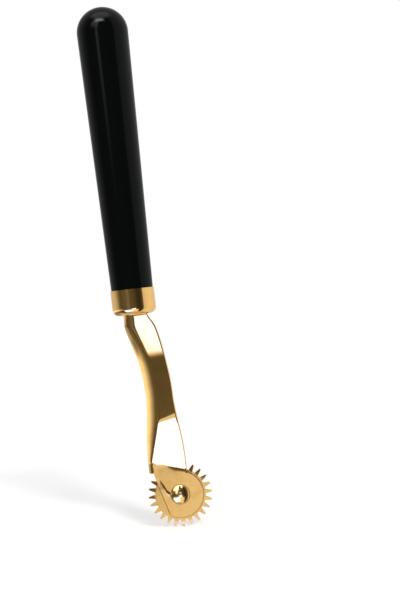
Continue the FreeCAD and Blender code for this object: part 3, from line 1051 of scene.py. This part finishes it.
def make_card(name, radius, levels, low, high, low_fade, high_fade, density):
    """A curved reflector or flag round the object, at a given radius in metres, which only polished
    surfaces see. levels are (azimuth, brightness), and low and high are its ends, which fade."""
    count = 48
    first, last = levels[0][0], levels[-1][0]
    points, faces = [], []
    for k in range(count + 1):
        angle = math.radians(first + (last - first) * k / count)
        for z in (low, high):
            points.append((radius * math.sin(angle), -radius * math.cos(angle), z))
    for k in range(count):
        a = 2 * k
        faces.append((a, a + 2, a + 3, a + 1))
    mesh = bpy.data.meshes.new(name)
    mesh.from_pydata(points, [], faces)
    card = put(name, mesh)
    for ray in ("camera", "diffuse", "transmission", "volume_scatter", "shadow"):
        setattr(card, "visible_" + ray, False)
    material, g = new_material(name + "_glow")
    place = g.add("SeparateXYZ", {0: g.add("NewGeometry").outputs["Position"]})
    x, y, z = place.outputs
    angle = g.math("DEGREES", g.math("ARCTAN2", x, g.times(y, -1.0)))
    share = g.math("DIVIDE", g.math("SUBTRACT", angle, first), last - first)
    colour = make_ramp(g, share, levels, first, last)
    glow = g.add("Emission", {"Color": colour, "Strength": 1.0}).outputs[0]
    clear = g.add("BsdfTransparent").outputs[0]
    solid = g.times(g.step(z, high, high - high_fade), g.step(z, low, low + low_fade))
    solid = g.times(solid, density)
    both = g.add("MixShader", {0: solid, 1: clear, 2: glow}).outputs[0]
    g.add("OutputMaterial", {"Surface": both})
    mesh.materials.append(material)


# -------------------- camera
AIM_OFFSET = (15.9, 0, -12.5)
CAMERA_DISTANCE = 0.7
SEEN_HEIGHT = 0.1875
CAMERA_ROLL = 6.59
SENSOR = 36


def make_camera():
    centre = (cad_box[0] + cad_box[1]) / 2
    aim = centre + Vector(AIM_OFFSET) * MM
    aim.y = 0
    data = bpy.data.cameras.new("camera")
    data.sensor_width = SENSOR
    data.lens = SENSOR * CAMERA_DISTANCE / SEEN_HEIGHT
    data.clip_start = 0.01
    data.clip_end = 50
    camera = put("camera", data)
    roll = math.radians(CAMERA_ROLL)
    right = Vector((math.cos(roll), 0, -math.sin(roll)))
    up = Vector((math.sin(roll), 0, math.cos(roll)))
    back = Vector((0, -1, 0))
    place = aim + back * CAMERA_DISTANCE
    camera.matrix_world = Matrix(
        [(right[i], up[i], back[i], place[i]) for i in range(3)] + [(0, 0, 0, 1)]
    )
    bpy.context.scene.camera = camera


# -------------------- materials
GOLD = (0.93, 0.585, 0.21, 1)
GOLD_DEEP = (0.86, 0.52, 0.17, 1)
GOLD_STAIN = (0.6, 0.36, 0.12, 1)
GOLD_WORN = (0.9, 0.66, 0.34, 1)
# The next colour darkens both the painted shade in gaps and corners and the real pits in the plating.
GOLD_SHADE_AND_PITS = (0.2, 0.11, 0.035, 1)
STAIN_SHARE, WORN_SHARE, SPECK_SHARE = 0.12, 0.5, 0.35
# How far, in metres, the painted shade fades out above its top height.
PAINTED_SHADE_FADE = 0.002


def worn_edge(g, radius, start, end):
    """1 along the outer edges of a piece, from how far a rounded normal leaves the plain one."""
    rounded = g.add("Bevel", {"Radius": radius}, samples=4).outputs[0]
    plain = g.add("NewGeometry").outputs["Normal"]
    alike = g.add("VectorMath", {0: rounded, 1: plain}, operation="DOT_PRODUCT").outputs["Value"]
    return g.step(alike, start, end)


def around_axis(g, place, middle, upright_axis):
    """Coordinates that run round an axis: distance from it, height along it and a little of both."""
    moved = g.add("VectorMath", {0: place, 1: middle}, operation="SUBTRACT").outputs[0]
    x, y, z = g.add("SeparateXYZ", {0: moved}).outputs
    first, second, height = (x, y, z) if upright_axis == "Z" else (x, z, y)
    squares = g.math("ADD", g.times(first, first), g.times(second, second))
    radius = g.math("SQRT", squares)
    turned = g.times(g.math("ARCTAN2", second, first), 0.0004)
    return g.add("CombineXYZ", {0: radius, 1: turned, 2: height}).outputs[0]


def make_gold(name, grain, axis=None, painted_shade_top=None, polish=0.042):
    """Polished gold-coloured plating, with shade painted into gaps and corners below a given height. grain
    stretches the polishing lines along each axis.
    """
    material, g = new_material(name)
    place = g.add("TexCoord").outputs["Object"]
    along = place if axis is None else around_axis(g, place, axis[0], axis[1])
    along = g.add("VectorMath", {0: along, 1: grain}, operation="MULTIPLY").outputs[0]
    lines = g.noise(along, 1.0, 3.0)
    cloud = g.noise(place, 330.0, 4.0)
    mottle = g.noise(place, 1500.0, 2.0)
    pits = g.add("TexVoronoi", {"Vector": place, "Scale": 900.0}).outputs["Distance"]
    colour = g.mix(g.step(cloud, 0.42, 0.72), GOLD, GOLD_DEEP)
    colour = g.mix(g.times(g.step(mottle, 0.48, 0.72), STAIN_SHARE), colour, GOLD_STAIN)
    edge = worn_edge(g, 0.00012, 0.98, 0.8)
    worn = g.times(g.times(edge, g.step(cloud, 0.4, 0.6)), WORN_SHARE)
    colour = g.mix(worn, colour, GOLD_WORN)
    # Painted shade: below a given height the colour darkens where ambient occlusion finds a near wall, as
    # in the gap along the ears' edges on the wheel and round the rivet's head.
    if painted_shade_top is not None:
        shade = g.add("AmbientOcclusion", {"Distance": 0.0009}, samples=8).outputs["AO"]
        height = g.add("SeparateXYZ", {0: place}).outputs[2]
        fade = g.step(height, painted_shade_top, painted_shade_top - PAINTED_SHADE_FADE)
        painted_shade = g.times(g.step(shade, 0.8, 0.55), fade)
        colour = g.mix(painted_shade, colour, GOLD_SHADE_AND_PITS)
    # Real pits in the plating, darkened with the same colour.
    speck = g.step(pits, 0.06, 0.02)
    colour = g.mix(g.times(speck, SPECK_SHARE), colour, GOLD_SHADE_AND_PITS)
    rough = g.times_plus(lines, 0.05, polish)
    rough = g.math("ADD", rough, g.times(edge, 0.08))
    rough = g.times_plus(speck, 0.1, rough)
    relief = g.times_plus(mottle, 0.5, lines)
    relief = g.math("SUBTRACT", relief, speck)
    bump = g.add("Bump", {"Strength": 0.05, "Distance": 0.000004, "Height": relief}).outputs[0]
    metal = {"Base Color": colour, "Metallic": 1.0, "Roughness": rough}
    shader = g.add("BsdfPrincipled", {**metal, "Normal": bump})
    g.add("OutputMaterial", {"Surface": shader.outputs[0]})
    return material


LACQUER = (0.0020, 0.0026, 0.0024, 1)
LACQUER_WORN = (0.03, 0.028, 0.025, 1)
DUST = (0.05, 0.05, 0.05, 1)


def make_lacquer():
    material, g = new_material("lacquer")
    place = g.add("TexCoord").outputs["Object"]
    peel = g.noise(place, 700.0, 2.0)
    cloud = g.noise(place, 90.0, 4.0)
    long = g.add("VectorMath", {0: place, 1: (2600, 2600, 90)}, operation="MULTIPLY").outputs[0]
    scratch = g.noise(long, 1.0, 2.0)
    dust = g.add("TexVoronoi", {"Vector": place, "Scale": 420.0}).outputs["Distance"]
    speck = g.step(dust, 0.05, 0.02)
    hair = g.step(scratch, 0.71, 0.76)
    edge = worn_edge(g, 0.00015, 0.98, 0.8)
    colour = g.mix(g.times(edge, 0.4), LACQUER, LACQUER_WORN)
    colour = g.mix(g.times(speck, 0.25), colour, DUST)
    rough = g.times_plus(cloud, 0.04, 0.04)
    rough = g.times_plus(hair, 0.12, rough)
    relief = g.math("SUBTRACT", g.times_plus(speck, 0.4, peel), hair)
    bump = g.add("Bump", {"Strength": 0.06, "Distance": 0.000006, "Height": relief}).outputs[0]
    facing = g.add("LayerWeight", {"Blend": 0.5}).outputs["Facing"]
    level = g.blend(0.5, 0.3, g.step(facing, 0.45, 0.75))
    coat = {"Base Color": colour, "Roughness": rough, "IOR": 1.18, "Specular IOR Level": level}
    shader = g.add("BsdfPrincipled", {**coat, "Normal": bump})
    g.add("OutputMaterial", {"Surface": shader.outputs[0]})
    return material


# -------------------- the scene
axle_spot = (axle_x * MM, 0, axle_z * MM)
ferrule_gold = make_gold("ferrule_gold", (300, 300, 9000), ((0, 0, 0), "Z"))
fork_gold = make_gold("fork_gold", (6000, 6000, 200), None, -0.0065)
wheel_gold = make_gold("wheel_gold", (6000, 900, 300), (axle_spot, "Y"), 1.0)
axle_gold = make_gold("axle_gold", (7000, 900, 7000), (axle_spot, "Y"), 1.0, 0.13)
lacquer = make_lacquer()
make_handle(lacquer)
make_ferrule(ferrule_gold)
make_fork(fork_gold)
make_wheel(wheel_gold)
make_rivet(axle_gold)
nodes["axle_sleeve"].data.materials.clear()
nodes["axle_sleeve"].data.materials.append(axle_gold)

make_world()
make_sun()
make_floor()
for card in CARDS:
    make_card(*card)
make_camera()
bpy.context.scene.view_settings.view_transform = "Standard"
